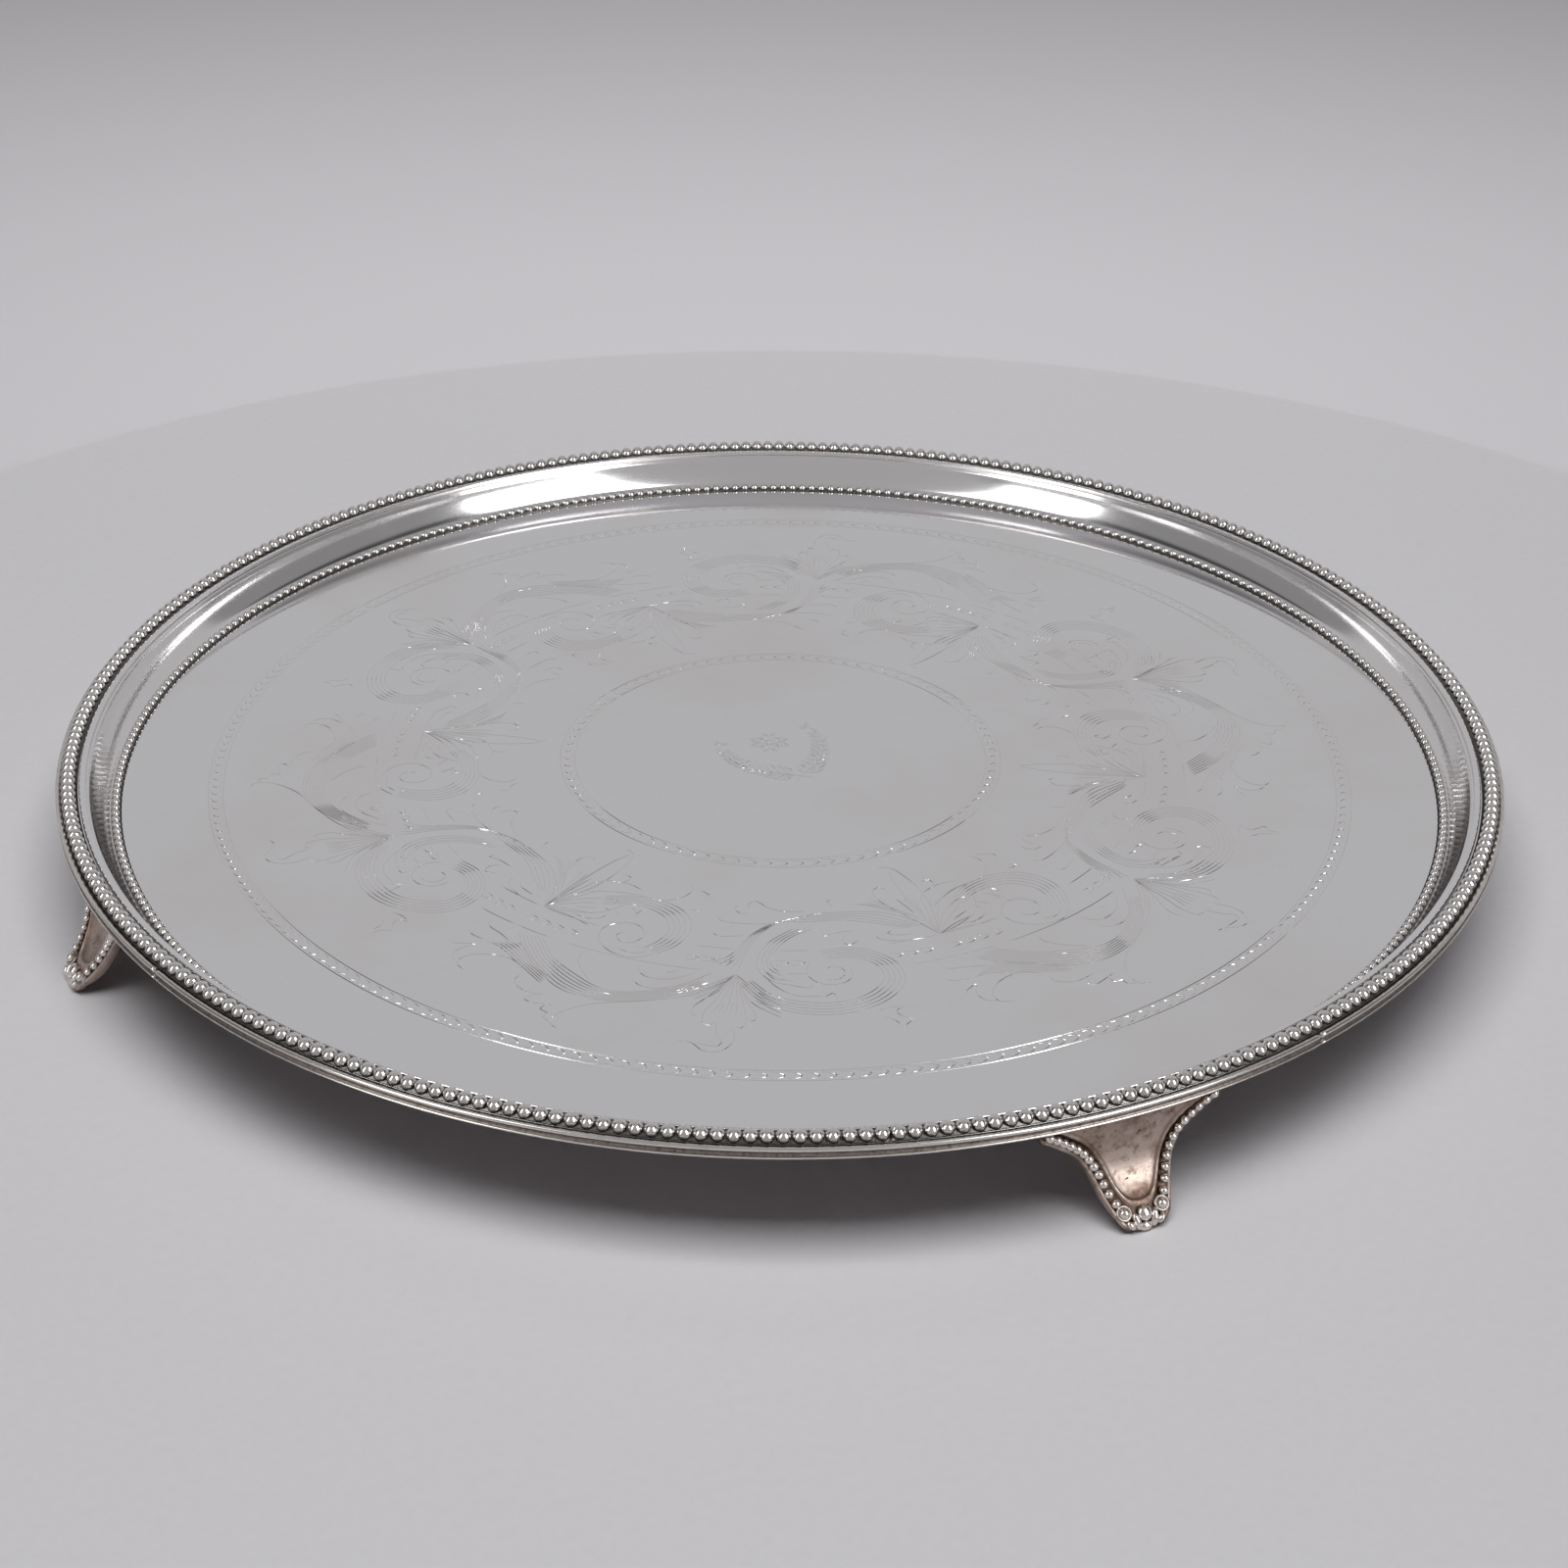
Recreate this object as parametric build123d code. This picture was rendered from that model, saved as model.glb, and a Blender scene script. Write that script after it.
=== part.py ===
from build123d import *
import math
import os

# Round silver salver with a beaded border, standing on four bracket feet. Millimetres, +Z up.
# The origin is on the table under the middle of the tray. The feet stand on +X, +Y, -X and -Y.

# Driving dimensions
BORDER_RING_RADIUS = 224.0   # middle of the outer row of beads
FIELD_RING_RADIUS = 211.2    # middle of the inner row of beads
FIELD_TOP = 27.0             # the flat field above the table
SHEET = 1.5                  # thickness of the raised sheet
SEAT_TOP = FIELD_TOP + 10.6  # flange that carries the border
CHANNEL_RADIUS = 209.5       # a shallow channel at the edge of the field holds the inner beads
CHANNEL_DROP = 0.3
RUNS = 4                     # the border is soldered up from this many lengths
FEET = 4

# Plate
COVE_FOOT_RADIUS = 213.1     # where the cove leaves the flat field
COVE_TOP_RADIUS = 218.4      # where the cove meets the border flange
COVE_TOP_DROP = 1.0          # little upright step between cove and flange
FLANGE_RADIUS = 226.4

# Edge moulding
EDGE_RADIUS = 228.6          # overall radius of the border
EDGE_TOP = SEAT_TOP + 0.4
EDGE_BOTTOM = FIELD_TOP + 7.6
EDGE_SHOULDER = 0.6          # how far the moulding draws in at its top and bottom

# Fillet moulding inside the beads
FILLET_INNER_RADIUS = 219.2
FILLET_OUTER_RADIUS = 221.3
FILLET_SIDE = 0.9
FILLET_CROWN = 1.3
FILLET_CHAMFER = 0.4

# Bead wires, drawn as the plain chamfered strip that their beads fill
BORDER_BEAD_WIDTH = 4.6
BORDER_BEAD_HEIGHT = 3.9
FIELD_BEAD_WIDTH = 3.2
FIELD_BEAD_HEIGHT = 2.5
BEAD_SIDE_SHARE = 0.4        # upright part of a strip's side, as a share of its height
BEAD_CHAMFER_SHARE = 0.25    # each chamfer, as a share of the strip's width
RUN_GAP = 0.05               # solder line between two lengths
BEAD_JOIN = -107.5           # degrees, first join of the bead wires
EDGE_JOIN = -74.7            # degrees, first join of the edge moulding

# Feet: the front face is two parabolas that share a vertex
FOOT_TOP = SEAT_TOP - SHEET
FOOT_WAIST_RADIUS = 222.7    # innermost place of the front face
FOOT_WAIST_HEIGHT = FIELD_TOP - 4.0
FOOT_TOP_FLARE = 3.3
FOOT_TOE_FLARE = 11.0
FOOT_TOE_NOSE = 3.0          # height of the nose of the toe
FOOT_THICKNESS = 2.8
FOOT_HALF_TOP = 29.0
FOOT_SWEEP = 16.0            # degrees of the border that the foot may cover
PAD_HALF_WIDTH = 4.0
PAD_DEPTH = 3.0
TOE_ROUND = (0.55, 1.2)      # the arc under the nose passes this far in, and this high
HEEL_TUCK = 5.0              # heel edge of the pad behind the nose
OUTLINE_STEPS = 6
# half of the foot's outline as (across, above the table), from the wing tip down to the toe
WING_OUTLINE = [(26.8, 28.2), (21.5, 24.7), (16.3, 20.8), (13.0, 15.5), (11.2, 10.0), (9.4, 4.6)]
TOE_CORNER = (8.0, 1.5)
# half of the line that the beads follow, from the wing tip to the middle of the toe
BEAD_LINE = [(24.8, 31.0), (20.3, 27.3), (14.6, 22.4), (11.1, 16.4), (9.2, 10.2), (7.3, 5.4), (3.6, 2.9)]
# half of the plain ridge between the beads and the panel
RIDGE_LINE = [(23.6, 33.6), (18.6, 29.8), (12.6, 24.6), (8.9, 18.4), (6.9, 11.9), (5.3, 8.0), (2.6, 6.4)]
FOOT_BEAD_WIDTH = 2.6
FOOT_BEAD_RISE = 1.8
SKIN_BOTTOM = 1.2            # lowest place of what lies on the front face
RIDGE_WIDTH = 0.7
RIDGE_RISE = 0.4


def radial_profile_solid(outline, start=0.0, sweep=360.0):
    """Turn a closed outline of (radius, height) edges about Z, from one angle through a sweep."""
    face = make_face(Plane.XZ * outline)
    return Rot(0, 0, start) * revolve(face, Axis.Z, sweep)


def salver_plate():
    """Field, cove and border flange, raised from one sheet."""
    under = FIELD_TOP - SHEET
    channel = FIELD_TOP - CHANNEL_DROP
    outline = [
        Line((0, under), (0, FIELD_TOP)),
        Line((0, FIELD_TOP), (CHANNEL_RADIUS, FIELD_TOP)),
        Line((CHANNEL_RADIUS, FIELD_TOP), (CHANNEL_RADIUS, channel)),
        Line((CHANNEL_RADIUS, channel), (COVE_FOOT_RADIUS, channel)),
        ThreePointArc(
            (COVE_FOOT_RADIUS, channel),
            (COVE_FOOT_RADIUS + 3.9, FIELD_TOP + 3.6),
            (COVE_TOP_RADIUS, SEAT_TOP - COVE_TOP_DROP),
        ),
        Line((COVE_TOP_RADIUS, SEAT_TOP - COVE_TOP_DROP), (COVE_TOP_RADIUS, SEAT_TOP)),
        Line((COVE_TOP_RADIUS, SEAT_TOP), (FLANGE_RADIUS, SEAT_TOP)),
        Line((FLANGE_RADIUS, SEAT_TOP), (FLANGE_RADIUS, SEAT_TOP - SHEET)),
        Line((FLANGE_RADIUS, SEAT_TOP - SHEET), (COVE_TOP_RADIUS + 1.8, SEAT_TOP - SHEET)),
        ThreePointArc(
            (COVE_TOP_RADIUS + 1.8, SEAT_TOP - SHEET),
            (COVE_FOOT_RADIUS + 5.4, FIELD_TOP + 2.3),
            (COVE_FOOT_RADIUS + 0.5, under),
        ),
        Line((COVE_FOOT_RADIUS + 0.5, under), (0, under)),
    ]
    return radial_profile_solid(Curve() + outline)


def edge_moulding(index):
    """One length of the bowed moulding around the outside of the border."""
    shoulder = EDGE_RADIUS - EDGE_SHOULDER
    middle = (EDGE_BOTTOM + EDGE_TOP) / 2
    outline = [
        Line((FLANGE_RADIUS, EDGE_BOTTOM), (shoulder, EDGE_BOTTOM)),
        ThreePointArc((shoulder, EDGE_BOTTOM), (EDGE_RADIUS, middle), (shoulder, EDGE_TOP)),
        Line((shoulder, EDGE_TOP), (FLANGE_RADIUS, EDGE_TOP)),
        Line((FLANGE_RADIUS, EDGE_TOP), (FLANGE_RADIUS, EDGE_BOTTOM)),
    ]
    gap = math.degrees(RUN_GAP / EDGE_RADIUS)
    sweep = 360.0 / RUNS
    return radial_profile_solid(Curve() + outline, EDGE_JOIN + index * sweep, sweep - gap)


def chamfered_strip(inner, outer, seat, side, crown, chamfer):
    """Closed section of a strip that lies flat on its seat, with its two upper corners cut off."""
    corners = [
        (inner, seat),
        (outer, seat),
        (outer, side),
        (outer - chamfer, crown),
        (inner + chamfer, crown),
        (inner, side),
    ]
    return Polyline(*corners, close=True)


def fillet_moulding():
    """Low plain moulding on the flange, inside the beads."""
    section = chamfered_strip(
        FILLET_INNER_RADIUS,
        FILLET_OUTER_RADIUS,
        SEAT_TOP,
        SEAT_TOP + FILLET_SIDE,
        SEAT_TOP + FILLET_CROWN,
        FILLET_CHAMFER,
    )
    return radial_profile_solid(section)


def bead_wire(index, ring_radius, seat, width, height):
    """One length of bead wire, as a chamfered strip."""
    section = chamfered_strip(
        ring_radius - width / 2,
        ring_radius + width / 2,
        seat,
        seat + BEAD_SIDE_SHARE * height,
        seat + height,
        BEAD_CHAMFER_SHARE * width,
    )
    gap = math.degrees(RUN_GAP / ring_radius)
    sweep = 360.0 / RUNS
    return radial_profile_solid(section, BEAD_JOIN + index * sweep, sweep - gap)


def front_radius(height):
    """Distance of the foot's front face from the axis of the tray."""
    rise = height - FOOT_WAIST_HEIGHT
    if rise >= 0:
        return FOOT_WAIST_RADIUS + FOOT_TOP_FLARE * (rise / (FOOT_TOP - FOOT_WAIST_HEIGHT)) ** 2
    return FOOT_WAIST_RADIUS + FOOT_TOE_FLARE * (rise / (FOOT_TOE_NOSE - FOOT_WAIST_HEIGHT)) ** 2


def profile_points(offset):
    """Points down the foot's front face, moved outwards by an offset."""
    points = []
    for step in range(OUTLINE_STEPS + 1):
        height = FOOT_TOP + (FOOT_TOE_NOSE - FOOT_TOP) * step / OUTLINE_STEPS
        points.append((front_radius(height) + offset, height))
    return points


def around(face):
    """Turn a side profile about the axis of the tray, wide enough for the whole foot."""
    return Rot(0, 0, -FOOT_SWEEP / 2) * revolve(Plane.XZ * face, Axis.Z, FOOT_SWEEP)


def forwards(face):
    """Extrude a front outline through the whole foot."""
    near = FOOT_WAIST_RADIUS - 10
    return extrude(Plane.YZ.offset(near) * face, EDGE_RADIUS - near + 20)


def side_band():
    """Side view of the casting: curved front and back, with a rounded toe on a flat pad."""
    front = profile_points(0)
    back = profile_points(-FOOT_THICKNESS)
    nose = front[-1]
    heel = (nose[0] - HEEL_TUCK, 0.0)
    toe = (heel[0] + PAD_DEPTH, 0.0)
    outline = [
        Spline(front),
        ThreePointArc(nose, (nose[0] - TOE_ROUND[0], TOE_ROUND[1]), toe),
        Line(toe, heel),
        Line(heel, back[-1]),
        Spline(back),
        Line(back[0], front[0]),
    ]
    return make_face(Curve() + outline)


def skin_band(rise):
    """Side view of a thin layer that lies on the front face."""
    inner = profile_points(0)
    outer = profile_points(rise)
    low_inner = (inner[-1][0], SKIN_BOTTOM)
    low_outer = (outer[-1][0], SKIN_BOTTOM)
    outline = [
        Spline(inner),
        Line(inner[-1], low_inner),
        Line(low_inner, low_outer),
        Line(low_outer, outer[-1]),
        Spline(outer),
        Line(outer[0], inner[0]),
    ]
    return make_face(Curve() + outline)


def mirrored(points):
    """Points of a half line, from the far side through the middle to the near side."""
    return [(-y, z) for y, z in points] + [(y, z) for y, z in reversed(points)]


def foot_outline():
    """Front view of the casting: two wings under the border and a narrow toe."""
    tip = WING_OUTLINE[0]
    low = WING_OUTLINE[-1]
    outline = [Line((-FOOT_HALF_TOP, FOOT_TOP), (FOOT_HALF_TOP, FOOT_TOP))]
    for side in (1, -1):
        outline.append(Line((side * FOOT_HALF_TOP, FOOT_TOP), (side * tip[0], tip[1])))
        outline.append(Spline([(side * y, z) for y, z in WING_OUTLINE]))
        pad = (side * PAD_HALF_WIDTH, 0.0)
        outline.append(ThreePointArc((side * low[0], low[1]), (side * TOE_CORNER[0], TOE_CORNER[1]), pad))
    outline.append(Line((-PAD_HALF_WIDTH, 0), (PAD_HALF_WIDTH, 0)))
    return make_face(Curve() + outline)


def foot_bracket():
    """The cast foot on +X, with the plain ridge that frames its panel."""
    body = around(side_band()) & forwards(foot_outline())
    ridge = trace(Spline(mirrored(RIDGE_LINE)), RIDGE_WIDTH)
    return body + (around(skin_band(RIDGE_RISE)) & forwards(ridge))


def foot_bead_edging():
    """Bead wire along the lower edge of the foot on +X, as a plain strip."""
    strip = trace(Spline(mirrored(BEAD_LINE)), FOOT_BEAD_WIDTH)
    return around(skin_band(FOOT_BEAD_RISE)) & forwards(strip)


def build_nodes():
    """Every sub-part, by the name of its file."""
    nodes = {"salver_plate": salver_plate(), "fillet_moulding": fillet_moulding()}
    for index in range(RUNS):
        number = index + 1
        nodes[f"edge_moulding_{number}"] = edge_moulding(index)
        nodes[f"border_bead_wire_{number}"] = bead_wire(
            index, BORDER_RING_RADIUS, SEAT_TOP, BORDER_BEAD_WIDTH, BORDER_BEAD_HEIGHT
        )
        nodes[f"field_bead_wire_{number}"] = bead_wire(
            index, FIELD_RING_RADIUS, FIELD_TOP - CHANNEL_DROP, FIELD_BEAD_WIDTH, FIELD_BEAD_HEIGHT
        )
    bracket = foot_bracket()
    edging = foot_bead_edging()
    for index in range(FEET):
        turn = Rot(0, 0, index * 360.0 / FEET)
        nodes[f"foot_bracket_{index + 1}"] = turn * bracket
        nodes[f"foot_bead_edging_{index + 1}"] = turn * edging
    return nodes


os.makedirs("parts", exist_ok=True)
for name, solid in build_nodes().items():
    export_step(solid, f"parts/{name}.step")
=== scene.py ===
import math
import random

import bpy
from mathutils import Matrix, Vector, geometry, kdtree


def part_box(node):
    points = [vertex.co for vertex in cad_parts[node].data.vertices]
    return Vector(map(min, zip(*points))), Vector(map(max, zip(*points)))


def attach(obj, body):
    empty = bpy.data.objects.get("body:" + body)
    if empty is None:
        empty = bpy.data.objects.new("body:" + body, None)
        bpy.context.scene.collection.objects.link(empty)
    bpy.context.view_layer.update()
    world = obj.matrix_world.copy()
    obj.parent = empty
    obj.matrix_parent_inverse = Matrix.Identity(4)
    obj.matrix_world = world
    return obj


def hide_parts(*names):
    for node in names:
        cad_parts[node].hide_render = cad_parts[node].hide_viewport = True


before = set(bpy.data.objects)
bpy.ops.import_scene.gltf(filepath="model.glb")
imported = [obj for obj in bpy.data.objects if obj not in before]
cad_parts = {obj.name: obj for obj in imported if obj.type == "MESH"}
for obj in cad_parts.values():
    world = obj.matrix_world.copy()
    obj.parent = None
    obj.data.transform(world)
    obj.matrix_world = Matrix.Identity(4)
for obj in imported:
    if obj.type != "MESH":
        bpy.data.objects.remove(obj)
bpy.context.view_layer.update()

# Lengths are metres unless a name or comment says millimetres. The tray's axis is Z, and the table is z = 0.
MM = 0.001
QUARTER = 90.0
BODY = "root"
QUARTERS = (1, 2, 3, 4)


def reach(prefix):
    """Outer radius of a ring that is packed in four lengths."""
    corners = [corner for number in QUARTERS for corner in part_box(f"{prefix}_{number}")]
    return max(max(abs(corner.x), abs(corner.y)) for corner in corners)


# Places read from the CAD frame
CHANNEL_DROP = 0.3 * MM
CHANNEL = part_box("field_bead_wire_1")[0].z
FIELD_TOP = CHANNEL + CHANNEL_DROP
SEAT_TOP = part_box("border_bead_wire_1")[0].z
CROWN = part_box("border_bead_wire_1")[1].z
EDGE_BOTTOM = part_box("edge_moulding_1")[0].z
EDGE_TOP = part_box("edge_moulding_1")[1].z
EDGE_RADIUS = reach("edge_moulding")
BORDER_BEAD_WIDTH = 4.6 * MM
FIELD_BEAD_WIDTH = 3.2 * MM
BORDER_RING = reach("border_bead_wire") - BORDER_BEAD_WIDTH / 2
FIELD_RING = reach("field_bead_wire") - FIELD_BEAD_WIDTH / 2
FILLET_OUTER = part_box("fillet_moulding")[1].x
FILLET_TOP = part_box("fillet_moulding")[1].z
PLATE_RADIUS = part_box("salver_plate")[1].x
PLATE_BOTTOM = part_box("salver_plate")[0].z
FOOT_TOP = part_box("foot_bracket_1")[1].z

BORDER_BEADS = 332
FIELD_BEADS = 360
# first join of each ring, in degrees, and the hair's breadth left at every join
BEAD_JOIN = -107.5
EDGE_JOIN = -74.7
BEAD_GAP = 0.007
EDGE_GAP = 0.006


def radial(radius, degrees, z=0.0):
    """A point at a distance and an angle from the tray's axis."""
    turn = math.radians(degrees)
    return Vector((radius * math.cos(turn), radius * math.sin(turn), z))


# ---------------- meshes

def add_object(name, data):
    """An object in the scene for some mesh, light or camera data."""
    result = bpy.data.objects.new(name, data)
    bpy.context.scene.collection.objects.link(result)
    return result


def make_object(name, vertices, faces, material, smooth=True, tarnish_and_shade=None):
    """A mesh object with one material, and a value at each vertex that darkens it, for tarnish and for
    painted shade.
    """
    mesh = bpy.data.meshes.new(name)
    mesh.from_pydata([tuple(v) for v in vertices], [], faces)
    mesh.update()
    mesh.polygons.foreach_set("use_smooth", [smooth] * len(mesh.polygons))
    values = tarnish_and_shade if tarnish_and_shade is not None else [0.0] * len(mesh.vertices)
    layer = mesh.attributes.new("tarnish_and_shade", "FLOAT", "POINT")
    layer.data.foreach_set("value", values)
    mesh.materials.append(material)
    return add_object(name, mesh)


def ring_faces(here, there, size):
    """Quads between two closed rows of vertices, given by their first indices."""
    quads = []
    for row in range(size):
        following = (row + 1) % size
        quads.append((here + row, there + row, there + following, here + following))
    return quads


def lathe_mesh(profile, start, sweep, steps):
    """Vertices and faces of a closed (radius, z) profile turned about Z."""
    full = sweep >= 360.0
    columns = steps if full else steps + 1
    size = len(profile)
    vertices = []
    for column in range(columns):
        angle = start + sweep * column / steps
        vertices.extend(radial(r, angle, z) for r, z in profile)
    faces = []
    for column in range(steps):
        faces += ring_faces(column * size, (column + 1) % columns * size, size)
    if not full:
        faces.append(tuple(range(size)))
        faces.append(tuple(reversed(range((columns - 1) * size, columns * size))))
    return vertices, faces


def arc(centre, radius_x, radius_z, start, end, steps):
    """Points of an elliptical arc in the (radius, z) plane."""
    points = []
    for step in range(steps + 1):
        turn = math.radians(start + (end - start) * step / steps)
        points.append((centre[0] + radius_x * math.cos(turn), centre[1] + radius_z * math.sin(turn)))
    return points


def section_points(radius, z, points):
    """Points given in millimetres from a corner of a section, as (radius, z) in metres."""
    return [(radius + across * MM, z + up * MM) for across, up in points]


# ---------------- materials

def fill(tree, node, inputs):
    """Give a node's inputs a value or a socket each, and return the node."""
    for key, value in inputs.items():
        if isinstance(value, bpy.types.NodeSocket):
            tree.links.new(value, node.inputs[key])
        else:
            node.inputs[key].default_value = value
    return node


def noise(tree, coordinates, scale, detail=6.0, rough=0.6):
    """Noise texture in object space, with its scale given in waves per metre."""
    node = tree.nodes.new("ShaderNodeTexNoise")
    inputs = {"Vector": coordinates, "Scale": scale, "Detail": detail, "Roughness": rough}
    return fill(tree, node, inputs).outputs["Fac"]


def ramp(tree, value, low, high, first, last):
    """Map a value range to another, clamped."""
    node = tree.nodes.new("ShaderNodeMapRange")
    inputs = {"Value": value, "From Min": low, "From Max": high, "To Min": first, "To Max": last}
    return fill(tree, node, inputs).outputs["Result"]


def mix_colour(tree, factor, first, second):
    """Blend from one colour to another."""
    node = tree.nodes.new("ShaderNodeMix")
    node.data_type = "RGBA"
    return fill(tree, node, {"Factor": factor, 6: (*first, 1.0), 7: (*second, 1.0)}).outputs[2]


def combine(tree, operation, first, second):
    """One maths node. Either operand may be a number or a socket."""
    node = tree.nodes.new("ShaderNodeMath")
    node.operation = operation
    return fill(tree, node, {0: first, 1: second}).outputs[0]


def new_material(name):
    """A material with its node tree, its shader and the object coordinates."""
    material = bpy.data.materials.new(name)
    material.use_nodes = True
    tree = material.node_tree
    place = tree.nodes.new("ShaderNodeTexCoord").outputs["Object"]
    return material, tree, tree.nodes["Principled BSDF"], place


def silver(name, clean, tarnish_and_shade_colour, roughness, film, grain_scale, bump, smudge=0.0, pits=0.0, dulling=0.22):
    """Polished silver: a film of tarnish in patches, fine scratches and wear, and a darkening from each
    vertex's value, which holds tarnish in hollows and also painted shade.

    film is how much of the tarnish colour the open surface carries, from 0 to 1. smudge is the same for
    broad wiped marks, and pits for small dark pits. dulling is the roughness that the full darkening adds,
    painted shade included.
    """
    material, tree, shader, place = new_material(name)
    # The vertex values hold tarnish in hollows and painted shade: the lower halves of beads, the strips under
    # beads, the plate's underside, the fillet's sides and the tops of the foot panels.
    hollow = tree.nodes.new("ShaderNodeAttribute")
    hollow.attribute_name = "tarnish_and_shade"
    cloud = ramp(tree, noise(tree, place, grain_scale / 5), 0.47, 0.68, 0.0, film)
    speck = ramp(tree, noise(tree, place, grain_scale, 3.0), 0.45, 0.8, 0.0, film)
    spread = combine(tree, "MULTIPLY", hollow.outputs["Fac"], ramp(tree, speck, 0.0, film + 0.01, 0.8, 1.1))
    broad = ramp(tree, noise(tree, place, 14.0, 4.0, 0.55), 0.5, 0.75, 0.0, smudge)
    pitted = ramp(tree, noise(tree, place, grain_scale * 1.6, 2.0, 0.4), 0.67, 0.72, 0.0, pits)
    film_mask = combine(tree, "ADD", combine(tree, "MAXIMUM", cloud, speck), broad)
    tarnish_and_shade_mask = combine(tree, "MAXIMUM", combine(tree, "MAXIMUM", spread, film_mask), pitted)
    scratches = noise(tree, place, grain_scale * 2, 8.0, 0.7)
    haze = ramp(tree, scratches, 0.35, 0.75, roughness * 0.8, roughness * 1.35)
    relief = tree.nodes.new("ShaderNodeBump")
    fill(tree, relief, {"Strength": 0.25, "Distance": bump, "Height": scratches})
    fill(tree, shader, {
        "Metallic": 1.0,
        "Base Color": mix_colour(tree, tarnish_and_shade_mask, clean, tarnish_and_shade_colour),
        "Roughness": combine(tree, "ADD", haze, combine(tree, "MULTIPLY", tarnish_and_shade_mask, dulling)),
        "Normal": relief.outputs["Normal"],
    })
    return material


PLATE_SILVER = silver(
    "plate_silver", (0.90, 0.895, 0.91), (0.78, 0.73, 0.70), roughness=0.045, film=0.05, grain_scale=900,
    bump=0.000003, smudge=0.3, dulling=0.4,
)
MOULDING_SILVER = silver(
    "moulding_silver", (0.78, 0.75, 0.72), (0.13, 0.10, 0.08), roughness=0.15, film=0.22, grain_scale=900,
    bump=0.00002, smudge=0.2,
)
BEAD_SILVER = silver(
    "bead_silver", (0.80, 0.775, 0.755), (0.05, 0.04, 0.033), roughness=0.12, film=0.10, grain_scale=1500,
    bump=0.00001,
)
FOOT_SILVER = silver(
    "foot_silver", (0.55, 0.455, 0.405), (0.13, 0.075, 0.05), roughness=0.34, film=0.8, grain_scale=420,
    bump=0.00012, smudge=0.5, pits=0.95,
)
FOOT_BEAD_SILVER = silver(
    "foot_bead_silver", (0.76, 0.71, 0.67), (0.06, 0.04, 0.03), roughness=0.13, film=0.15, grain_scale=1500,
    bump=0.00002,
)


# ---------------- engraving

# The engraving is drawn in thousandths of the border ring's radius. A motif's own frame has X across it and
# Y outwards from the middle of the tray, and six motifs stand around the field.
RING_UNIT = BORDER_RING / 1000
MOTIFS = 6
MOTIF_ANGLE = -121.3
LINE = 0.33 * MM
FINE_LINE = LINE * 0.9
LINE_DEPTH = 0.12 * MM
STEP = 1.6 * MM


def smooth_line(line, spacing, unit=1.0):
    """A Catmull-Rom curve through a few points given in a unit, sampled at about a spacing."""
    points = [Vector(point) * unit for point in line]
    padded = [points[0] * 2 - points[1], *points, points[-1] * 2 - points[-2]]
    result = []
    for index in range(1, len(padded) - 2):
        before, here, there, after = padded[index - 1:index + 3]
        count = max(1, round((there - here).length / spacing))
        for step in range(count):
            t = step / count
            result.append(0.5 * (
                2 * here + (there - before) * t + (2 * before - 5 * here + 4 * there - after) * t * t
                + (3 * here - before - 3 * there + after) * t ** 3
            ))
    result.append(points[-1])
    return result


def running_lengths(points):
    """How far along a line each of its points is."""
    lengths = [0.0]
    for before, after in zip(points, points[1:]):
        lengths.append(lengths[-1] + (after - before).length)
    return lengths


def between(first, last, count, trim=0.0):
    """Guide lines spread between two guides that have the same number of points.

    A trim leaves out the first point of every second line.
    """
    lines = []
    for index in range(count):
        share = index / (count - 1)
        line = [Vector(a).lerp(Vector(b), share) for a, b in zip(first, last)]
        if trim and index % 2:
            line = line[1:]
        lines.append(line)
    return lines


def ticks(line, count, length, lean=0.0):
    """Short strokes across a guide line."""
    points = smooth_line(line, 2)
    strokes = []
    for index in range(count):
        place = index / (count - 1) * (len(points) - 2)
        here = points[int(place)]
        along = (points[int(place) + 1] - here).normalized()
        over = Vector((-along.y, along.x)) + along * lean
        strokes.append([here - over * length / 2, here + over * length / 2])
    return strokes


def spiral(centre, start_radius, end_radius, start, end, points=9):
    """Guide line of a scroll that winds in towards its eye."""
    line = []
    for index in range(points):
        share = index / (points - 1)
        radius = start_radius + (end_radius - start_radius) * share ** 0.8
        line.append(Vector(centre) + radial(radius, start + (end - start) * share).xy)
    return line


def palmette():
    """Upright spray with a curled finial, and the fans of strokes that leave its foot."""
    foot = (-10, 585)
    lines = [
        [foot, (-28, 650), (-36, 690), (-31, 706), (-24, 700)],
        [foot, (6, 640), (18, 675), (17, 700), (8, 704), (1, 697)],
        [(-20, 700), (-27, 730), (-18, 753), (-3, 762), (12, 757),
         (22, 746), (34, 741), (45, 746)],
        [(1, 697), (-4, 722), (-13, 739), (-9, 747), (6, 747), (20, 744)],
        [foot, (-30, 640), (-47, 675), (-44, 689), (-37, 682)],
        [foot, (18, 640), (33, 665), (32, 685), (25, 679)],
    ]
    lines += between([foot, (-19, 645), (-22, 682)], [foot, (-1, 645), (9, 678)], 5, 1)
    lines += between([foot, (-37, 645), (-80, 676)], [foot, (-47, 618), (-78, 634)], 6, 1)
    lines += between([foot, (8, 628), (28, 652)], [foot, (26, 612), (66, 634)], 6, 1)
    return lines


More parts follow.
